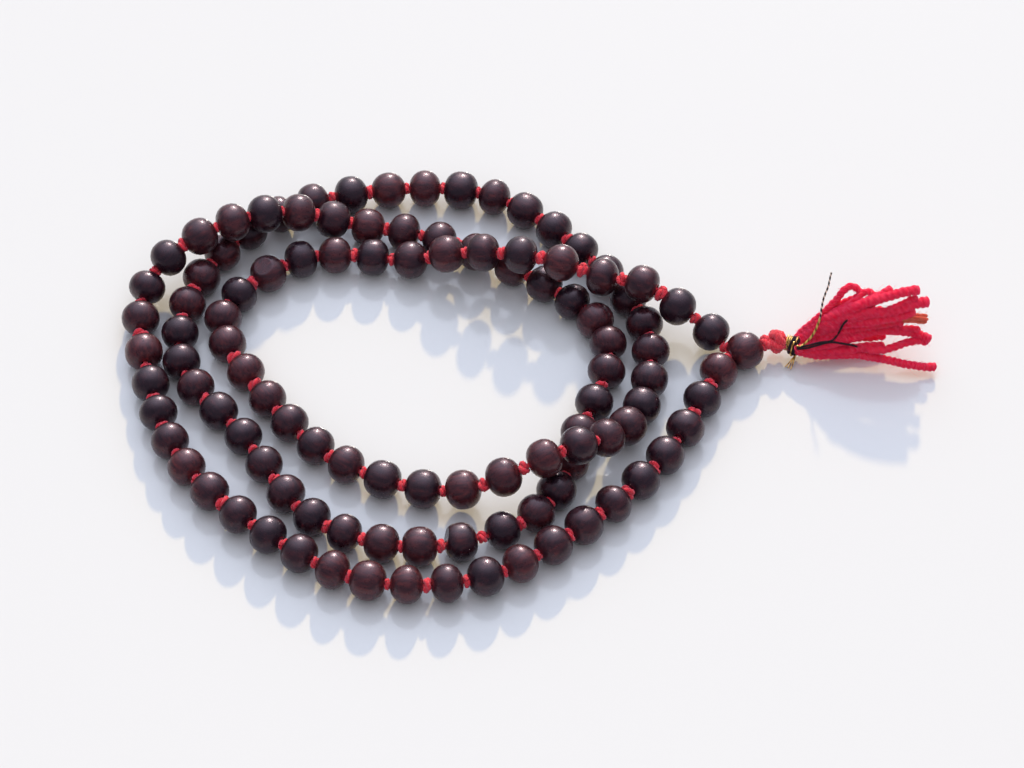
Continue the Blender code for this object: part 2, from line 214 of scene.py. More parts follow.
def make_floor():
    bm = bmesh.new()
    bmesh.ops.create_grid(bm, x_segments=1, y_segments=1, size=3.0)
    mesh = bpy.data.meshes.new("floor")
    bm.to_mesh(mesh)
    bm.free()
    floor = bpy.data.objects.new("floor", mesh)
    bpy.context.scene.collection.objects.link(floor)
    floor.location.z = FLOOR_HEIGHT
    material = bpy.data.materials.new("pale_floor")
    material.use_nodes = True
    shader = material.node_tree.nodes["Principled BSDF"]
    shader.inputs["Base Color"].default_value = (0.68, 0.68, 0.68, 1.0)
    shader.inputs["Roughness"].default_value = 0.12
    shader.inputs["IOR"].default_value = 1.5
    mesh.materials.append(material)


def make_sun(name, strength, colour, angle, azimuth, elevation, seen_by):
    """A distant light, and whether matt surfaces or gleaming ones see it."""
    light = bpy.data.lights.new(name, "SUN")
    light.energy = strength
    light.color = colour
    light.angle = angle
    lamp = bpy.data.objects.new(name, light)
    bpy.context.scene.collection.objects.link(lamp)
    towards = Vector((math.sin(azimuth) * math.cos(elevation), math.cos(azimuth) * math.cos(elevation),
                      math.sin(elevation)))
    lamp.rotation_euler = towards.to_track_quat("Z", "Y").to_euler()
    lamp.visible_diffuse = seen_by == "matt"
    lamp.visible_glossy = seen_by == "gleaming"


def make_lights():
    """A key light low behind the beads, warmer in what it lights than in its gleam, and a soft fill."""
    make_sun("key", KEY_STRENGTH, KEY_COLOUR, KEY_ANGLE, KEY_AZIMUTH, KEY_ELEVATION, "matt")
    make_sun("gleam", GLEAM_STRENGTH, GLEAM_COLOUR, KEY_ANGLE, KEY_AZIMUTH, KEY_ELEVATION, "gleaming")
    make_sun("fill", FILL_STRENGTH, FILL_COLOUR, FILL_ANGLE, math.pi, VIEW_ELEVATION, "matt")


def make_sky():
    """Soft light from a wide pale window high behind the beads, and a little from all round."""
    world = bpy.data.worlds.new("studio")
    bpy.context.scene.world = world
    world.use_nodes = True
    tree = world.node_tree
    direction = tree.nodes.new("ShaderNodeTexCoord")
    towards = tree.nodes.new("ShaderNodeVectorMath")
    towards.operation = "DOT_PRODUCT"
    tree.links.new(direction.outputs["Generated"], towards.inputs[0])
    towards.inputs[1].default_value = (0.0, math.cos(WINDOW_ELEVATION), math.sin(WINDOW_ELEVATION))
    level = towards.outputs["Value"]
    for operation, values in (("MAXIMUM", (0.0,)), ("POWER", (WINDOW_FOCUS,)),
                              ("MULTIPLY_ADD", (WINDOW_STRENGTH, ROOM_STRENGTH))):
        step = tree.nodes.new("ShaderNodeMath")
        step.operation = operation
        tree.links.new(level, step.inputs[0])
        for number, value in enumerate(values):
            step.inputs[number + 1].default_value = value
        level = step.outputs[0]
    background = tree.nodes["Background"]
    background.inputs["Color"].default_value = (*SKY_COLOUR, 1.0)
    tree.links.new(level, background.inputs["Strength"])


# ---------------------------------------------------------------- Materials

class Nodes:
    """A material's node tree, with short ways to add and join its nodes."""

    def __init__(self, name, **values):
        self.material = bpy.data.materials.new(name)
        self.material.use_nodes = True
        self.tree = self.material.node_tree
        self.shader = self.tree.nodes["Principled BSDF"]
        for socket, value in values.items():
            self.shader.inputs[socket.replace("_", " ")].default_value = value

    def add(self, kind, links=(), **values):
        """A node of a kind; values are its properties, and links are (input, value or output socket)."""
        node = self.tree.nodes.new(kind)
        for name, value in values.items():
            setattr(node, name, value)
        for socket, source in links:
            if isinstance(source, bpy.types.NodeSocket):
                self.tree.links.new(source, node.inputs[socket])
            else:
                node.inputs[socket].default_value = source
        return node

    def attribute(self, name, output="Vector"):
        return self.add("ShaderNodeAttribute", attribute_name=name).outputs[output]

    def stretched(self, vector, scale):
        return self.add("ShaderNodeMapping", [("Vector", vector), ("Scale", scale)]).outputs["Vector"]

    def noise(self, vector, scale, detail=4.0, rough=0.55):
        links = [("Vector", vector), ("Scale", scale), ("Detail", detail), ("Roughness", rough)]
        return self.add("ShaderNodeTexNoise", links).outputs["Fac"]

    def ramp(self, factor, stops):
        node = self.add("ShaderNodeValToRGB", [("Fac", factor)])
        elements = node.color_ramp.elements
        while len(elements) < len(stops):
            elements.new(0.5)
        for element, (position, colour) in zip(elements, stops):
            element.position = position
            element.color = (*colour, 1.0)
        return node.outputs["Color"]

    def spread(self, factor, low, high, start=0.0, end=1.0):
        links = [("Value", factor), ("From Min", start), ("From Max", end), ("To Min", low), ("To Max", high)]
        return self.add("ShaderNodeMapRange", links).outputs["Result"]

    def maths(self, operation, first, second=0.0):
        return self.add("ShaderNodeMath", [(0, first), (1, second)], operation=operation).outputs[0]

    def mix(self, factor, first, second, blend="MIX"):
        node = self.add("ShaderNodeMix", data_type="RGBA", blend_type=blend)
        for socket, source in (("Factor", factor), ("A", first), ("B", second)):
            target = [s for s in node.inputs if s.name == socket and s.enabled][0]
            if isinstance(source, bpy.types.NodeSocket):
                self.tree.links.new(source, target)
            else:
                target.default_value = source
        return [s for s in node.outputs if s.enabled][0]

    def bump(self, height, distance, strength=1.0):
        links = [("Height", height), ("Distance", distance), ("Strength", strength)]
        normal = self.add("ShaderNodeBump", links).outputs["Normal"]
        self.tree.links.new(normal, self.shader.inputs["Normal"])

    def feed(self, socket, source):
        self.tree.links.new(source, self.shader.inputs[socket])


def wood_material():
    """Dark hardwood, turned and polished: streaks along the bore, redder in some beads, fine scratches.

    The attribute grain is the place in the bead in millimetres, moved to other wood for each bead, and
    the attribute tone is one value for each bead, from black to red brown.
    """
    m = Nodes("dark_wood", Coat_Weight=0.34, Coat_Roughness=0.09, Coat_IOR=1.5, IOR=1.49,
              Specular_Tint=(1.0, 0.68, 0.82, 1.0))
    grain = m.attribute("grain")
    tone = m.attribute("tone", "Fac")
    streaks = m.noise(m.stretched(grain, (0.22, 1.0, 1.0)), 1.5, 6.0, 0.6)
    pores = m.noise(m.stretched(grain, (0.35, 1.0, 1.0)), 9.0, 3.0, 0.6)
    blotches = m.noise(grain, 0.35, 2.0)
    dark = m.ramp(streaks, [(0.30, (0.005, 0.0025, 0.0060)), (0.52, (0.012, 0.0045, 0.0090)),
                            (0.80, (0.032, 0.0090, 0.0120))])
    red = m.ramp(streaks, [(0.30, (0.018, 0.0050, 0.0085)), (0.52, (0.062, 0.0120, 0.0150)),
                           (0.80, (0.150, 0.0270, 0.0240))])
    shade = m.maths("ADD", tone, m.spread(blotches, -0.35, 0.35, 0.3, 0.7))
    m.feed("Base Color", m.mix(m.spread(shade, 0.0, 1.0), dark, red))
    wear = m.noise(grain, 1.1, 5.0, 0.65)
    m.feed("Roughness", m.spread(wear, 0.22, 0.46, 0.34, 0.66))
    scratches = m.noise(m.stretched(grain, (3.2, 0.5, 0.5)), 2.2, 5.0, 0.7)
    fine = m.maths("ADD", m.maths("MULTIPLY", pores, 0.5), m.maths("MULTIPLY", scratches, 0.5))
    m.bump(fine, 0.00009, 0.5)
    return m.material


def fibre_material(name, low, middle, high, ply_count, twist, fuzz=0.25, glow=0.0, haze=None):
    """Spun fibre. The attribute strand is the length in millimetres, then the angle round the strand.

    glow is how much of the light that falls on the fibre's far side comes through it, and haze is the
    colour of the fine hairs that stand off it.
    """
    m = Nodes(name, Roughness=0.85, Sheen_Weight=fuzz, Sheen_Roughness=0.5, Sheen_Tint=(*(haze or high), 1.0),
              Specular_IOR_Level=0.15, Subsurface_Weight=glow, Subsurface_Scale=0.0008,
              Subsurface_Radius=(1.0, 0.25, 0.30))
    strand = m.attribute("strand")
    parts = m.add("ShaderNodeSeparateXYZ", [("Vector", strand)])
    turn = m.maths("MULTIPLY", parts.outputs["X"], twist)
    across = m.maths("MULTIPLY", parts.outputs["Y"], float(ply_count))
    hairs = m.maths("SINE", m.maths("ADD", m.maths("MULTIPLY", turn, 2.0), m.maths("MULTIPLY", across, 4.0)))
    tufts = m.noise(strand, 2.3, 5.0, 0.7)
    streaks = m.noise(m.stretched(strand, (0.5, 2.4, 1.0)), 2.6, 3.0, 0.6)
    mixed = m.maths("ADD", m.maths("MULTIPLY", tufts, 0.5), m.maths("MULTIPLY", streaks, 0.5))
    level = m.maths("ADD", m.maths("MULTIPLY", hairs, 0.06), mixed)
    m.feed("Base Color", m.ramp(level, [(0.34, low), (0.50, middle), (0.64, high)]))
    m.bump(level, 0.00016, 0.9)
    return m.material


def cotton_material():
    return fibre_material("red_cotton", (0.46, 0.006, 0.020), (0.86, 0.022, 0.046), (1.00, 0.180, 0.190),
                          3, 2.4, 0.80, 0.30, (1.0, 0.36, 0.46))


def yarn_material():
    return fibre_material("red_yarn", (0.50, 0.001, 0.016), (0.95, 0.004, 0.048), (1.00, 0.150, 0.230),
                          2, 2.4, 1.00, 0.75, (1.0, 0.10, 0.25))


def faded_yarn_material():
    return fibre_material("faded_yarn", (0.42, 0.020, 0.022), (0.72, 0.090, 0.060), (0.90, 0.340, 0.200),
                          2, 2.4, 0.35, 0.45)


def gold_material():
    """Flat metallic foil wound on a dark core: bright bands and dark gaps along the thread."""
    m = Nodes("gold_thread", IOR=1.5)
    strand = m.attribute("strand")
    parts = m.add("ShaderNodeSeparateXYZ", [("Vector", strand)])
    turn = m.maths("ADD", m.maths("MULTIPLY", parts.outputs["X"], 11.0), parts.outputs["Y"])
    bands = m.maths("SINE", turn)
    grime = m.noise(strand, 2.0, 3.0)
    level = m.maths("ADD", m.maths("MULTIPLY", bands, 0.25), grime)
    m.feed("Base Color", m.ramp(level, [(0.30, (0.160, 0.065, 0.012)), (0.50, (0.950, 0.480, 0.080)),
                                        (0.75, (1.000, 0.740, 0.260))]))
    m.feed("Metallic", m.spread(level, 0.2, 0.85, 0.35, 0.6))
    m.feed("Roughness", m.spread(grime, 0.28, 0.5, 0.3, 0.7))
    m.bump(bands, 0.00004, 0.6)
    return m.material


def dark_metal_material():
    """The tail's upper part, where the foil is worn off the dark core."""
    m = Nodes("worn_gold_thread", IOR=1.5)
    strand = m.attribute("strand")
    parts = m.add("ShaderNodeSeparateXYZ", [("Vector", strand)])
    turn = m.maths("ADD", m.maths("MULTIPLY", parts.outputs["X"], 12.0), parts.outputs["Y"])
    flecks = m.maths("MULTIPLY", m.maths("SINE", turn), 0.4)
    level = m.maths("ADD", flecks, m.noise(strand, 2.0, 3.0))
    m.feed("Base Color", m.ramp(level, [(0.35, (0.020, 0.009, 0.011)), (0.58, (0.16, 0.075, 0.055)),
                                        (0.80, (1.00, 0.78, 0.62))]))
    m.feed("Roughness", m.spread(level, 0.35, 0.6, 0.3, 0.7))
    m.bump(level, 0.00004, 0.5)
    return m.material


def black_material():
    return fibre_material("black_thread", (0.009, 0.005, 0.008), (0.020, 0.013, 0.018),
                          (0.065, 0.046, 0.055), 2,
                          5.0, 0.15)


WOOD = wood_material()
COTTON = cotton_material()
YARN = yarn_material()
FADED_YARN = faded_yarn_material()
GOLD = gold_material()
WORN_GOLD = dark_metal_material()
BLACK = black_material()


# ---------------------------------------------------------------- Mesh building

class Builder:
    """Gathers rings of points and their attributes into one mesh."""

    def __init__(self):
        self.points = []
        self.faces = []
        self.values = {}
        self.indices = []

    def ring(self, points, **attributes):
        start = len(self.points)
        self.points += [tuple(point) for point in points]
        for name, values in attributes.items():
            self.values.setdefault(name, []).extend(values)
        return start

    def skin(self, rings, sides, closed=False, capped=False, material=0):
        pairs = list(zip(rings, rings[1:]))
        if closed:
            pairs.append((rings[-1], rings[0]))
        for first, second in pairs:
            for number in range(sides):
                after = (number + 1) % sides
                self.faces.append((first + number, first + after, second + after, second + number))
                self.indices.append(material)
        if capped:
            self.faces.append(tuple(rings[0] + number for number in reversed(range(sides))))
            self.faces.append(tuple(rings[-1] + number for number in range(sides)))
            self.indices += [material, material]

    def finish(self, name, materials):
        mesh = bpy.data.meshes.new(name)
        mesh.from_pydata(self.points, [], self.faces)
        for attribute, values in self.values.items():
            if isinstance(values[0], tuple):
                layer = mesh.attributes.new(attribute, "FLOAT_VECTOR", "POINT")
                layer.data.foreach_set("vector", [number for value in values for number in value])
            else:
                layer = mesh.attributes.new(attribute, "FLOAT", "POINT")
                layer.data.foreach_set("value", values)
        for material in materials:
            mesh.materials.append(material)
        mesh.polygons.foreach_set("material_index", self.indices)
        mesh.shade_smooth()
        mesh.update()
        piece = bpy.data.objects.new(name, mesh)
        bpy.context.scene.collection.objects.link(piece)
        return piece


def frame_for(direction):
    """A side and an up direction square to a direction of travel."""
    side = UP.cross(direction)
    if side.length < 1e-6:
        side = Vector((1.0, 0.0, 0.0))
    side.normalize()
    return side, direction.cross(side).normalized()


def lobed_tube(builder, line, radius, plies=2, pitch=2.4, depth=0.22, sides=12, start_turn=0.0, taper=0.0,
               material=0, capped=True):
    """A twisted strand along a line: its section has one lobe for each ply, and turns as it goes.

    radius is a number or a function of the share of the length. The section's frame is carried along
    the line without twist, so that only the lobes turn.
    """
    total = sum((b - a).length for a, b in zip(line, line[1:]))
    direction = (line[1] - line[0]).normalized()
    side, up = frame_for(direction)
    travelled = 0.0
    rings = []
    for number, point in enumerate(line):
        before = line[max(number - 1, 0)]
        after = line[min(number + 1, len(line) - 1)]
        ahead = (after - before).normalized()
        turn = direction.rotation_difference(ahead)
        side = (turn @ side)
        side = (side - ahead * side.dot(ahead)).normalized()
        up = ahead.cross(side)
        direction = ahead
        if number:
            travelled += (point - line[number - 1]).length
        share = travelled / total
        size = radius(share) if callable(radius) else radius
        if taper:
            size *= min(1.0, 0.35 + 0.65 * math.sqrt(min(share, 1.0 - share) * total / taper + 1e-9))
        phase = start_turn + 2.0 * math.pi * travelled / (pitch * MM)
        points = []
        strand = []
        for corner in range(sides):
            angle = 2.0 * math.pi * corner / sides
            lobe = abs(math.cos(plies * (angle - phase) / 2.0))
            length = size * (1.0 - depth + depth * lobe)
            points.append(point + length * (math.cos(angle) * side + math.sin(angle) * up))
            strand.append((travelled / MM, angle - phase, 0.0))
        rings.append(builder.ring(points, strand=strand))
    builder.skin(rings, sides, capped=capped, material=material)


def curve_line(points, step):
    """Points a step apart on the smooth curve through a list of points."""
    line = []
    for first in range(len(points) - 1):
        count = max(1, int(math.ceil((points[first + 1] - points[first]).length / step)))
        line += [smooth_point(points, first + number / count) for number in range(count)]
    line.append(Vector(points[-1]))
    return line


# ---------------------------------------------------------------- Beads

BEAD_SEGMENTS = 40
BEAD_STATIONS = 13
BORE_RADIUS = 0.00078
BORE_DEPTH = 0.0016
TURNED_HALF_LENGTH = 0.00336
GURU_BORE_RADIUS = 0.00125
LEAST_SPACE = 0.00012


def room_beside(number):
    """The half-length that leaves a bead clear of the beads on both sides of it."""
    links = [(PLACES[other - 1] - PLACES[number - 1]).length
             for other in (number - 1, number + 1) if 1 <= other <= BEAD_COUNT and number <= BEAD_COUNT]
    return min(links + [2.0 * BEAD_RADIUS]) / 2.0 - LEAST_SPACE


def bead_look(number):
    """The small ways in which hand-turned beads differ: the same for a bead on every run."""
    chance = random.Random(1000 + number)
    look = {
        "radius": BEAD_RADIUS * chance.uniform(0.965, 1.0),
        "half_length": min(TURNED_HALF_LENGTH * chance.uniform(0.93, 1.06), room_beside(number)),
        "fullness": chance.uniform(2.02, 2.40),
        "lean": chance.uniform(-0.06, 0.06),
        "tone": max(0.0, min(1.0, chance.gauss(0.34, 0.36))),
        "seed": Vector((chance.uniform(-50, 50), chance.uniform(-50, 50), chance.uniform(-50, 50))),
        "roll": chance.uniform(0.0, 2.0 * math.pi),
    }
    if number in REDDER:
        look["tone"] = 0.95
    return look


# Beads of a clearly redder wood
REDDER = (12, 13, 32, 44, 67, 68, 83, 104)


# Beads with a face cut or worn off them: the face's direction, and its distance from the middle
CUT_FACES = {
    96: (Vector((-0.30, -0.25, 0.92)).normalized(), 0.00335),
    48: (Vector((-0.97, 0.00, 0.24)).normalized(), 0.00300),
    3: (Vector((0.20, -0.75, 0.63)).normalized(), 0.00372),
}
CUT_RIM = 0.00004


def cut_back(offset, number):
    """A point of the bead's surface, moved back onto the cut face where it stands beyond it."""
    if number not in CUT_FACES:
        return offset
    direction, distance = CUT_FACES[number]
    beyond = offset.dot(direction) - distance
    return offset - direction * (beyond + CUT_RIM) if beyond > 0.0 else offset


def add_bead(builder, number, middle, axis, bore=BORE_RADIUS):
    """One turned bead: a full round outline that ends in two flats, each with the mouth of the bore."""
    look = bead_look(number)
    side, up = frame_for(axis)
    half = look["half_length"]
    reach_length = half * 1.045
    power = look["fullness"]
    outline = []
    fineness = 3 if number in CUT_FACES else 1
    stations = fineness * BEAD_STATIONS
    segments = fineness * BEAD_SEGMENTS
    for stop in range(stations):
        share = math.sin(math.pi * (stop / (stations - 1) - 0.5))
        x = half * share
        radius = look["radius"] * (1.0 - abs(x / reach_length) ** power) ** (1.0 / power)
        outline.append((x, radius))
    end_radius = outline[0][1]
    rim = bore + 0.00016
    inside = [(half - BORE_DEPTH, bore), (half - 0.00022, bore), (half - 0.00002, rim),
              (half, 0.5 * (rim + end_radius))]
    profile = [(-x, radius) for x, radius in inside] + outline
    profile += [(x, radius) for x, radius in reversed(inside)]
    rings = []
    for x, radius in profile:
        points = []
        grain = []
        for corner in range(segments):
            angle = 2.0 * math.pi * corner / segments + look["roll"]
            local = Vector((x, radius * math.cos(angle), radius * math.sin(angle)))
            dent = noise.noise(local * 260.0 + look["seed"]) * 0.012
            dent += noise.noise(local * 90.0 + look["seed"]) * 0.02
            swell = 1.0 + dent * min(1.0, max(0.0, (radius - rim) / 0.001)) + look["lean"] * x / half * 0.5
            if radius <= rim:
                swell = 1.0
            y = local.y * swell
            z = local.z * swell
            points.append(middle + cut_back(axis * x + side * y + up * z, number))
            place = Vector((x, y, z)) / MM + look["seed"]
            grain.append(tuple(place))
        rings.append(builder.ring(points, grain=grain, tone=[look["tone"]] * segments))
    builder.skin(rings, segments, closed=True)


def bead_piece(name, numbers, body, node):
    builder = Builder()
    for number in numbers:
        bore = GURU_BORE_RADIUS if number == GURU + 1 else BORE_RADIUS
        add_bead(builder, number, PLACES[number - 1], AXES[number - 1], bore)
    piece = builder.finish(name, [WOOD])
    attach(piece, body)
    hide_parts(node)


def make_beads():
    for number in range(1, BEAD_COUNT + 1):
        if not FIRST_JOINED <= number <= LAST_JOINED:
            node = "bead_%03d" % number
            bead_piece("turned_" + node, [number], node, node)
    for first in range(FIRST_JOINED, LAST_JOINED, BEADS_PER_RUN):
        last = first + BEADS_PER_RUN - 1
        node = "bead_run_%03d_%03d" % (first, last)
        bead_piece("turned_" + node, list(range(first, last + 1)), "root", node)
    bead_piece("turned_guru_bead", [GURU + 1], "guru", "guru_bead")


# ---------------------------------------------------------------- Cord and knots

CORD_RADIUS = 0.00050
LEG_SPACING = 0.00055
CORD_PITCH = 2.0


def bead_end(number, way):
    return PLACES[number - 1] + AXES[number - 1] * (BEAD_HALF_LENGTH * way)


def cord_path():
    """The cord's centreline: out of the guru bead, straight through each bead, and back."""
    guru_axis = AXES[GURU]
    side, _ = frame_for(guru_axis)
    first = PLACES[GURU] - side * LEG_SPACING
    last = PLACES[GURU] + side * LEG_SPACING
    points = [first + guru_axis * (BEAD_HALF_LENGTH + 0.0004), first - guru_axis * BEAD_HALF_LENGTH]
    for number in range(1, BEAD_COUNT + 1):
        points.append(bead_end(number, -1.0))
        points.append(bead_end(number, 1.0))
    points += [last - guru_axis * BEAD_HALF_LENGTH, last + guru_axis * (BEAD_HALF_LENGTH + 0.0004)]
    return points


def make_cord():
    path = cord_path()
    line = []
    for first, (a, b) in enumerate(zip(path, path[1:])):
        hidden = (b - a).length > 0.004
        count = 8 if hidden else max(4, int((b - a).length / 0.0002))
        line += [a.lerp(b, number / count) for number in range(count)]
    line.append(path[-1])
    builder = Builder()
    lobed_tube(builder, line, CORD_RADIUS, plies=3, pitch=CORD_PITCH, depth=0.2, sides=12)
    cord = builder.finish("knotted_cord", [COTTON])
    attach(cord, "root")
    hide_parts("cord_leg_first", "cord_leg_last")
    length = sum((b - a).length for a, b in zip(line, line[1:]))
    return cord, line, length


def overhand_line(middle, axis, ring_radius, wave, turn, stretch, steps):
    """The closed line of a tight overhand knot: a strand that winds twice round while it waves thrice."""
    side, up = frame_for(axis)
    line = []
    for step in range(steps + 1):
        t = 2.0 * math.pi * step / steps
        radius = ring_radius + wave * math.cos(3.0 * t)
        along = wave * stretch * math.sin(3.0 * t)
        angle = 2.0 * t + turn
        line.append(middle + axis * along + radius * (math.cos(angle) * side + math.sin(angle) * up))
    return line


def add_knot(builder, middle, axis, chance, size=1.0, stretch=1.0):
    tilt = Vector((chance.uniform(-1, 1), chance.uniform(-1, 1), chance.uniform(-1, 1))) * 0.22
    axis = (axis + tilt).normalized()
    line = overhand_line(middle, axis, 0.00066 * size, 0.00032 * size, chance.uniform(0.0, 6.3), stretch, 54)
    lobed_tube(builder, line, 0.00047 * size, plies=3, pitch=1.7, depth=0.24, sides=9,
               start_turn=chance.uniform(0.0, 6.3), capped=False)


def make_knots():
    """A knot in each gap between two beads, tight against both, and one beside the guru bead on each leg."""
    builder = Builder()
    chance = random.Random(42)
    for number in range(1, BEAD_COUNT):
        end = bead_end(number, 1.0)
        start = bead_end(number + 1, -1.0)
        gap = (start - end).length
        size = chance.uniform(0.80, 1.10) * min(1.18, 0.82 + 0.17 * gap / MM)
        stretch = min(1.5, max(0.7, gap / 0.0016))
        add_knot(builder, (end + start) * 0.5, (start - end).normalized(), chance, size, stretch)
    mouth = PLACES[GURU] - AXES[GURU] * BEAD_HALF_LENGTH
    for leg_end in (bead_end(1, -1.0), bead_end(BEAD_COUNT, 1.0)):
        add_knot(builder, leg_end.lerp(mouth, 0.35), (mouth - leg_end).normalized(), chance)
    knots = builder.finish("cord_knots", [COTTON])
    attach(knots, "root")
    return knots


# ---------------------------------------------------------------- Tassel

HEAD_LINE = [
    (0.04730, 0.00860, 0.0038), (0.04850, 0.00915, 0.0038), (0.05070, 0.00970, 0.0037),
    (0.05260, 0.00960, 0.0035), (0.05390, 0.00925, 0.0033), (0.05540, 0.00865, 0.0032),
]

# How much thicker the spun yarns are than the cores given below
YARN_FULLNESS = 1.22

# Yarns from the binding outwards, in millimetres, each with its radius
YARNS = {
    "low": (0.74, [(54.4, 8.2, 2.9), (55.4, 7.8, 2.6), (57.6, 7.2, 2.6), (60.1, 6.7, 2.7),
                   (63.0, 6.7, 2.8), (66.0, 6.6, 2.9), (69.0, 6.3, 2.8), (72.0, 5.9, 2.6),
                   (75.0, 5.2, 2.4), (78.1, 4.6, 2.1), (80.7, 4.5, 1.8), (83.3, 4.5, 1.6)]),
    "low_pair": (0.72, [(54.4, 8.3, 3.2), (55.4, 7.9, 3.2), (58.5, 7.4, 3.6), (61.8, 7.3, 4.0),
                        (65.1, 7.4, 4.2), (67.8, 7.1, 4.5), (70.4, 6.5, 4.6), (72.8, 6.6, 4.7),
                        (75.0, 7.3, 4.8), (77.4, 8.3, 4.9), (80.2, 8.8, 4.9), (81.9, 8.7, 5.0)]),
    "middle": (0.80, [(54.4, 8.5, 3.6), (55.4, 8.1, 3.8), (58.5, 8.2, 4.8), (61.8, 8.2, 5.8),
                      (65.3, 8.8, 6.4), (68.9, 9.2, 7.1), (72.6, 9.7, 7.1), (75.9, 9.6, 6.9),
                      (78.9, 9.6, 6.2), (81.1, 9.0, 5.7), (82.3, 8.6, 5.4)]),
    "thin": (0.55, [(54.4, 8.8, 3.3), (55.4, 9.1, 3.4), (58.8, 9.1, 4.8), (62.3, 9.0, 6.1),
                    (65.9, 9.2, 6.9), (69.6, 9.4, 7.6), (72.8, 10.0, 7.7), (76.1, 9.8, 7.7),
                    (78.5, 9.6, 7.8), (79.9, 9.1, 7.8)]),
    "thick": (0.92, [(54.4, 9.0, 3.7), (55.6, 9.7, 4.3), (58.5, 9.9, 6.5), (61.6, 9.7, 8.8),
                     (65.2, 10.1, 10.2), (68.7, 9.8, 11.6), (71.9, 9.8, 12.4), (74.9, 10.1, 13.0),
                     (77.6, 10.8, 13.4), (79.7, 11.4, 13.7), (81.4, 11.4, 14.0)]),
    "branch": (0.62, [(54.4, 9.2, 3.6), (57.0, 10.0, 5.0), (61.7, 9.7, 8.5), (66.4, 10.1, 10.5),
                      (71.0, 9.8, 12.3), (74.2, 10.3, 13.4), (76.3, 11.0, 14.1), (79.1, 11.7, 15.0)]),
    "top": (0.88, [(54.4, 9.1, 4.2), (55.6, 10.2, 4.7), (58.2, 10.6, 7.2), (61.0, 10.5, 9.8),
                   (64.2, 10.5, 12.1), (67.1, 10.7, 13.6), (70.0, 11.0, 14.8), (73.0, 11.4, 15.5),
                   (76.0, 12.0, 16.1), (79.4, 12.3, 16.5)]),
    "top_short": (0.72, [(54.4, 9.4, 4.0), (55.6, 10.6, 4.6), (58.5, 10.9, 7.6), (61.6, 10.8, 10.3),
                         (64.8, 10.8, 12.6), (68.0, 11.4, 13.9), (70.7, 12.2, 14.6), (72.5, 13.1, 15.0),
                         (74.0, 13.7, 15.4)]),
    "loop_far": (0.66, [(54.4, 9.5, 4.0), (55.5, 10.6, 5.2), (57.0, 11.1, 6.8), (59.0, 11.8, 8.8),
                        (60.7, 12.4, 10.6), (62.5, 13.2, 12.4), (63.5, 13.9, 13.8), (64.5, 14.3, 14.8),
                        (65.7, 14.5, 15.2), (66.9, 14.2, 14.6), (67.4, 13.5, 13.8), (66.4, 13.4, 12.8),
                        (65.0, 13.5, 11.8), (62.9, 13.4, 10.6), (60.8, 12.7, 9.2), (58.8, 11.8, 7.4),
                        (57.0, 11.1, 5.9), (55.5, 10.5, 4.6), (54.4, 9.2, 3.2)]),
    "loop_near": (0.64, [(54.4, 9.5, 3.4), (55.5, 10.7, 4.8), (58.2, 11.2, 7.2), (61.1, 11.3, 9.8),
                         (64.2, 11.6, 12.2), (66.6, 12.3, 13.6), (67.8, 13.4, 14.4), (69.0, 13.5, 14.8),
                         (70.1, 12.9, 14.6), (71.2, 12.2, 14.0), (69.9, 11.6, 13.0), (67.3, 11.7, 11.6),
                         (64.4, 11.5, 10.0), (61.1, 10.9, 8.0), (58.2, 10.2, 6.0), (55.5, 9.6, 4.2),
                         (54.4, 9.2, 3.2)]),
    "fill_top": (0.85, [(54.4, 8.8, 4.2), (55.5, 9.2, 4.5), (58.8, 9.5, 6.4), (62.3, 9.7, 8.2),
                        (65.8, 9.7, 9.3), (69.3, 9.1, 10.4), (73.2, 9.4, 11.1), (76.4, 10.0, 11.6),
                        (78.6, 10.7, 12.0)]),
    "fill_front": (0.80, [(54.4, 8.2, 4.1), (55.4, 7.4, 4.2), (58.8, 7.4, 4.9), (62.4, 7.6, 5.6),
                          (65.9, 8.2, 6.3), (68.9, 9.1, 6.9), (71.9, 9.6, 7.2), (75.5, 9.2, 7.6)]),
    "fill_far": (0.80, [(54.4, 9.0, 4.4), (55.5, 9.7, 4.8), (58.2, 9.9, 6.9), (61.0, 9.8, 9.2),
                        (64.2, 9.8, 11.0), (67.4, 9.9, 12.1), (70.9, 9.6, 13.2)]),
    "fill_mid": (0.85, [(54.4, 8.9, 3.5), (55.5, 9.3, 3.8), (58.8, 9.2, 5.3), (62.3, 9.3, 6.8),
                        (65.9, 9.5, 7.7), (69.4, 9.8, 8.4), (73.0, 10.1, 8.9), (76.4, 10.3, 9.2)]),
    "fill_low": (0.80, [(54.4, 8.1, 3.3), (55.4, 7.4, 3.2), (58.8, 7.1, 3.5), (62.4, 7.0, 3.8),
                        (66.0, 7.1, 4.2), (69.6, 7.4, 4.6), (72.8, 7.6, 4.6)]),
    "back_low": (0.78, [(54.4, 9.4, 2.8), (55.6, 10.0, 2.8), (58.5, 10.6, 2.6), (62.0, 11.2, 2.4),
                        (66.0, 12.0, 2.2), (70.0, 12.3, 2.2), (73.5, 12.8, 2.0)]),
    "back_mid": (0.78, [(54.4, 9.6, 3.2), (55.6, 10.5, 3.4), (58.5, 11.6, 4.2), (62.0, 12.4, 5.0),
                        (66.0, 13.3, 5.6), (70.0, 13.8, 5.8), (74.0, 13.6, 6.0)]),
    "back_high": (0.75, [(54.4, 9.7, 3.6), (55.6, 10.9, 4.2), (58.5, 12.0, 5.8), (62.0, 13.0, 7.2),
                         (65.5, 13.4, 8.2), (69.0, 13.6, 8.8), (72.5, 13.2, 9.2)]),
}
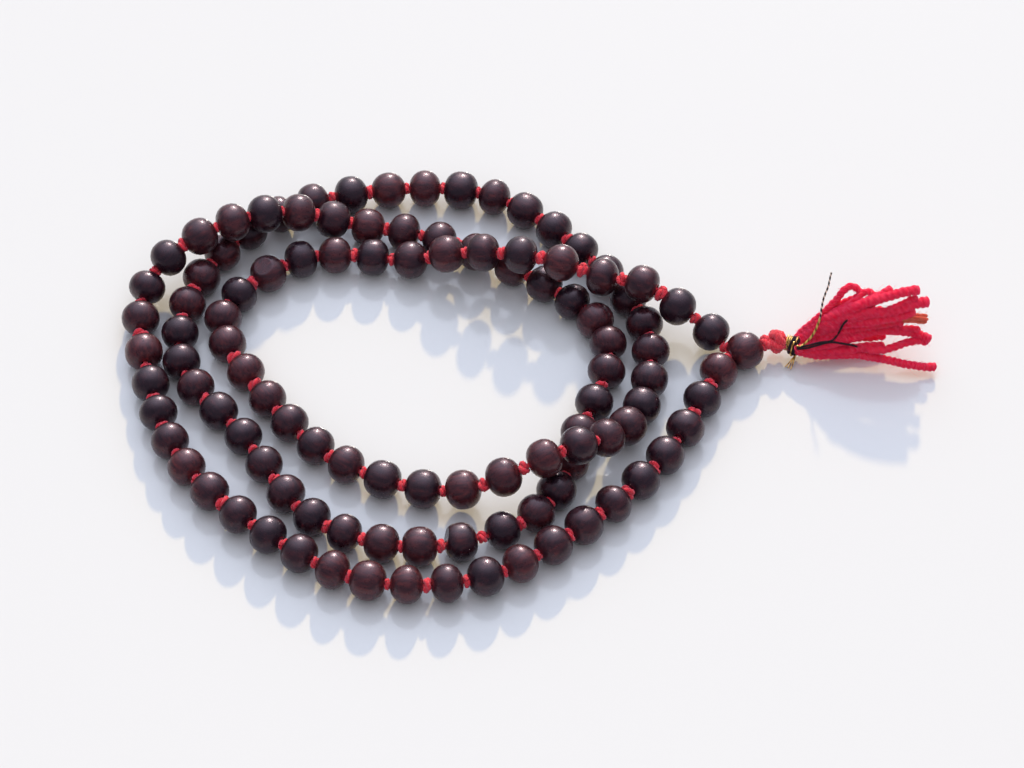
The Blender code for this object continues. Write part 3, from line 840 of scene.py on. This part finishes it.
FADED = (0.80, [(54.4, 9.1, 3.3), (55.4, 9.8, 3.4), (59.4, 9.5, 5.5), (63.6, 10.0, 7.2),
                     (67.4, 10.2, 8.3), (71.3, 10.2, 9.0), (74.9, 10.4, 9.4), (78.2, 10.5, 9.7),
                     (81.3, 10.1, 10.0)])
BLACK_LONG = [(54.6, 6.9, 4.5), (55.3, 6.5, 5.0), (56.9, 6.4, 5.4), (59.3, 6.7, 6.1), (61.6, 6.9, 6.6),
              (63.7, 6.7, 6.4), (65.8, 6.8, 5.8), (67.0, 6.5, 5.6)]
BLACK_SHORT = [(54.6, 7.2, 4.7), (55.3, 6.8, 5.2), (56.9, 6.7, 5.8), (59.3, 7.0, 6.4), (61.6, 7.1, 6.8),
               (62.9, 8.5, 7.1), (63.9, 8.7, 10.0), (64.7, 8.7, 11.4)]
GOLD_TAIL = [(54.6, 7.3, 4.9), (55.3, 6.9, 5.2), (56.3, 7.4, 5.7), (57.5, 8.1, 6.8), (58.4, 9.0, 8.1),
             (58.9, 9.8, 9.2), (59.3, 10.5, 10.2), (59.5, 11.5, 11.4), (59.8, 12.6, 12.9), (60.3, 13.5, 14.3),
             (60.8, 14.2, 15.5), (61.1, 15.1, 16.8), (61.4, 15.9, 17.9)]
GOLD_STUB = [(54.6, 7.6, 2.0), (54.0, 6.9, 1.3), (53.4, 6.1, 0.8), (52.7, 5.3, 0.4)]


def in_metres(points):
    return [Vector(point) * MM for point in points]


def head_point(fraction):
    points = [Vector(point) for point in HEAD_LINE]
    place_on_line = fraction * (len(points) - 1)
    ahead = smooth_point(points, min(place_on_line + 0.05, len(points) - 1))
    behind = smooth_point(points, max(place_on_line - 0.05, 0.0))
    return smooth_point(points, place_on_line), (ahead - behind).normalized()


def add_strand_knot(builder, middle, axis, ring_radius, wave, tube, turn, stretch):
    line = overhand_line(middle, axis, ring_radius, wave, turn, stretch, 90)
    lobed_tube(builder, line, tube, plies=3, pitch=2.2, depth=0.24, sides=14, start_turn=turn, capped=False)


def make_guru_knot():
    """Two legs tied in a small and a large knot, with a turn of cord over the top of the large one."""
    builder = Builder()
    small, small_axis = head_point(0.18)
    large, large_axis = head_point(0.40)
    add_strand_knot(builder, small, small_axis, 0.00074, 0.00044, 0.00068, 0.6, 0.9)
    for turn, lean in ((1.9, 0.0), (0.7, 0.7)):
        axis = (large_axis + UP * lean).normalized()
        add_strand_knot(builder, large, axis, 0.00118, 0.00068, 0.00078, turn, 1.6)
    side, up = frame_for(large_axis)
    over = []
    for step in range(25):
        angle = math.pi * (0.10 + 0.80 * step / 24)
        rise = up * (0.00200 * math.sin(angle)) + side * (0.00162 * math.cos(angle))
        over.append(large + rise + large_axis * (0.0004 * math.cos(2.0 * angle)))
    lobed_tube(builder, over, 0.00070, plies=3, pitch=2.2, depth=0.22, sides=14, taper=0.0008)
    for offset in (-0.0006, 0.0006):
        line = [head_point(0.015 + 0.96 * step / 60)[0] + side * offset for step in range(61)]
        lobed_tube(builder, line, 0.00080, plies=3, pitch=2.4, depth=0.2, sides=14, start_turn=offset * 3000)
    knot = builder.finish("tied_guru_knot", [COTTON])
    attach(knot, "knot")
    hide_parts("guru_knot")


def winding(start, end, turns, radius, tilt, steps_per_turn=30, phase=0.0):
    """A thread wound round the head between two fractions of its line, each turn tilted."""
    line = []
    total = int(turns * steps_per_turn)
    for step in range(total + 1):
        share = step / total
        middle, axis = head_point(start + (end - start) * share)
        side, up = frame_for(axis)
        angle = 2.0 * math.pi * turns * share + phase
        slant = axis * (tilt * math.cos(angle))
        line.append(middle + slant + radius * (math.cos(angle) * side + math.sin(angle) * up))
    return line


def make_bindings():
    builder = Builder()
    for phase in (0.0, 0.9):
        line = winding(0.60, 0.80, 3.4, 0.00152, 0.00025, phase=phase)
        lobed_tube(builder, line, 0.00017, plies=2, pitch=0.9, depth=0.3, sides=8)
    line = winding(0.87, 0.91, 1.0, 0.00232, 0.0002, phase=2.0)
    lobed_tube(builder, line, 0.00017, plies=2, pitch=0.9, depth=0.3, sides=8)
    gold = builder.finish("gold_winding", [GOLD])
    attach(gold, "knot")
    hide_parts("gold_binding")
    builder = Builder()
    line = winding(0.625, 0.78, 3.0, 0.00142, 0.00025, phase=2.4)
    lobed_tube(builder, line, 0.00026, plies=2, pitch=1.1, depth=0.22, sides=8)
    for layer, radius in enumerate((0.00165, 0.00195)):
        line = winding(0.79, 1.0, 5.0 - layer, radius, 0.00035, phase=1.3 * layer)
        lobed_tube(builder, line, 0.00028, plies=2, pitch=1.1, depth=0.22, sides=8)
    black = builder.finish("black_winding", [BLACK])
    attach(black, "knot")
    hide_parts("black_binding")


def wander(place):
    """A smooth vector for a place. Three plain noises, as noise_vector gives other values in each run."""
    return Vector((noise.noise(place), noise.noise(place + Vector((31.4, 7.2, 12.9))),
                   noise.noise(place + Vector((-17.3, 23.8, 5.1)))))


def yarn_line(points, chance, radius):
    """The smooth line of a yarn, with the small waves of a soft yarn that was once knotted."""
    line = curve_line(in_metres(points), 0.00028)
    shift = Vector((chance.uniform(-9, 9), chance.uniform(-9, 9), chance.uniform(-9, 9)))
    waved = []
    for number, point in enumerate(line):
        share = min(1.0, number / 25.0)
        wave = wander(point * 320.0 + shift) * 0.00022 + wander(point * 900.0 + shift) * 0.0001
        moved = point + wave * share
        moved.z = max(moved.z, radius * 0.9 + FLOOR_HEIGHT)
        waved.append(moved)
    return waved


HAIR_RADIUS = 0.000034
SHORT_HAIRS_PER_METRE = 13000
LONG_HAIRS_PER_METRE = 700
SHORT_HAIR = 0.0008
LONG_HAIR = 0.0026


def add_fuzz(builder, line, radius, chance, per_metre, longest, thickness):
    """Stray fibres that stand off a yarn: thin three-sided hairs, curved back along it."""
    count = int(sum((b - a).length for a, b in zip(line, line[1:])) * per_metre)
    for _ in range(count):
        place = chance.randrange(1, len(line) - 1)
        along = (line[place + 1] - line[place - 1]).normalized()
        side, up = frame_for(along)
        angle = chance.uniform(0.0, 2.0 * math.pi)
        out = math.cos(angle) * side + math.sin(angle) * up
        length = longest * chance.uniform(0.35, 1.0)
        lean = along * chance.choice((-1.0, 1.0)) * chance.uniform(0.6, 1.8)
        swirl = along.cross(out) * chance.uniform(-0.8, 0.8)
        hair = []
        for step in range(3):
            t = step / 2.0
            bend = out * (t - 0.45 * t * t) + (lean + swirl) * t * 0.6
            hair.append(line[place] + out * radius * 0.8 + bend * length)
        rings = []
        for step, point in enumerate(hair):
            width = thickness * (1.0 - 0.3 * step)
            corners = [point + width * (math.cos(a) * side + math.sin(a) * up) for a in (0.0, 2.094, 4.189)]
            rings.append(builder.ring(corners, strand=[(place * 0.3 + step * 0.2, angle, 0.0)] * 3))
        builder.skin(rings, 3, capped=True)


def blend_across_lift(piece):
    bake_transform(piece)


def fluffy_end(share):
    """A cut end swells a little where the plies come loose."""
    return 1.0 + 0.22 * max(0.0, (share - 0.93) / 0.07) if share > 0.93 else 1.0


def make_yarns():
    chance = random.Random(7)
    for name, (width, points) in YARNS.items():
        builder = Builder()
        radius = width * YARN_FULLNESS * MM
        line = yarn_line(points, chance, radius)
        if name.startswith("loop"):
            size = radius
        else:
            size = lambda share, radius=radius: radius * fluffy_end(share)
        lobed_tube(builder, line, size, plies=2, pitch=chance.uniform(2.1, 2.9), depth=0.27, sides=16,
                   start_turn=chance.uniform(0.0, 6.3), taper=0.0006)
        add_fuzz(builder, line, radius, chance, SHORT_HAIRS_PER_METRE, SHORT_HAIR, HAIR_RADIUS)
        add_fuzz(builder, line, radius, chance, LONG_HAIRS_PER_METRE, LONG_HAIR, 0.8 * HAIR_RADIUS)
        piece = builder.finish("yarn_" + name, [YARN])
        blend_across_lift(piece)
        if name == "middle":
            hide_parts("tassel_yarns")
    width, points = FADED
    builder = Builder()
    for strand in range(3):
        shifted = []
        for number, (x, y, z) in enumerate(points):
            open_out = 0.28 + 0.07 * number
            shifted.append((x, y + open_out * math.cos(2.1 * strand),
                            z + open_out * 0.5 * math.sin(2.1 * strand) + 0.2))
        line = yarn_line(shifted, chance, 0.5 * MM)
        lobed_tube(builder, line, 0.00052, plies=2, pitch=2.2, depth=0.25, sides=12, taper=0.0006)
        add_fuzz(builder, line, 0.00052, chance, 12000, 0.0012, HAIR_RADIUS)
    piece = builder.finish("yarn_faded", [FADED_YARN])
    blend_across_lift(piece)


def make_tails():
    chance = random.Random(11)
    for name, points, node in (("black_end_long", BLACK_LONG, "black_tail_long"),
                               ("black_end_short", BLACK_SHORT, "black_tail_short")):
        builder = Builder()
        line = curve_line(in_metres(points), 0.0002)
        lobed_tube(builder, line, 0.00023, plies=2, pitch=1.1, depth=0.25, sides=10, taper=0.0003)
        add_fuzz(builder, line, 0.00023, chance, 6000, 0.0005, 0.5 * HAIR_RADIUS)
        piece = builder.finish(name, [BLACK])
        blend_across_lift(piece)
        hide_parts(node)
    builder = Builder()
    line = curve_line(in_metres(GOLD_TAIL), 0.0002)
    split = int(len(line) * 0.46)
    lobed_tube(builder, line[:split + 1], 0.00027, plies=2, pitch=1.0, depth=0.3, sides=10, material=0)
    lobed_tube(builder, line[split:], lambda share: 0.00025 - 0.00003 * share,
               plies=2, pitch=0.95, depth=0.45, sides=10, material=1)
    tail = builder.finish("gold_end", [GOLD, WORN_GOLD])
    blend_across_lift(tail)
    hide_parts("metallic_tail")
    builder = Builder()
    for shift in (-0.12, 0.06, 0.25):
        points = [(x + shift * number, y - shift * 0.6 * number, z + 0.1)
                  for number, (x, y, z) in enumerate(GOLD_STUB)]
        line = curve_line(in_metres(points), 0.0002)
        lobed_tube(builder, line, 0.00014, plies=2, pitch=0.9, depth=0.3, sides=8)
    stub = builder.finish("gold_cut_end", [GOLD])
    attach(stub, "knot")
    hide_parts("metallic_stub")


# ---------------------------------------------------------------- Whole scene

bpy.context.scene.view_settings.view_transform = "Standard"
make_camera()
make_floor()
make_lights()
make_sky()
cord, cord_line, cord_length = make_cord()
knots = make_knots()
make_beads()
make_guru_knot()
make_bindings()
make_yarns()
make_tails()
